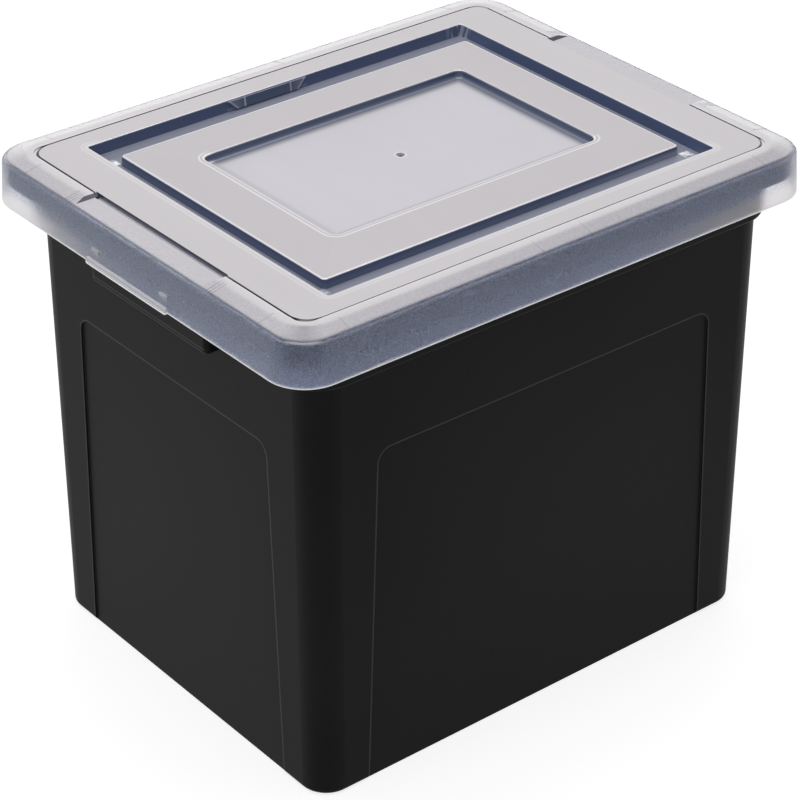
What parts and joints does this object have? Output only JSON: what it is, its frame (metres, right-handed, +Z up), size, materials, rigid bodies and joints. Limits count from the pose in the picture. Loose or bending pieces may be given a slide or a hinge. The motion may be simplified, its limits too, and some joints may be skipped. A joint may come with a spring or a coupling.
{
  "type": "file box",
  "caption": "Portable file box: an upright moulded tub with hand grips and folder rails, under a frosted lift-off lid with a stepped top and latch flaps.",
  "frame": {"origin": "centre of the tub's base, on the surface it stands on", "axes": "+Z up; X along the long side; the latch flaps and hand grips are on the two short sides, at +X and -X"},
  "size_m": [0.3732, 0.2932, 0.307],
  "materials": {
    "tub": "satin moulded black plastic",
    "lid": "frosted translucent plastic, smoother on its edges"
  },
  "bodies": {
    "tub": {"tub": "tub"},
    "lid": {"lid": "lid"}
  },
  "joints": [
    {"name": "lid_lift", "type": "slide", "parent": "tub", "child": "lid", "axis": [0, 0, 1], "range_m": [0, 0.08]}
  ]
}
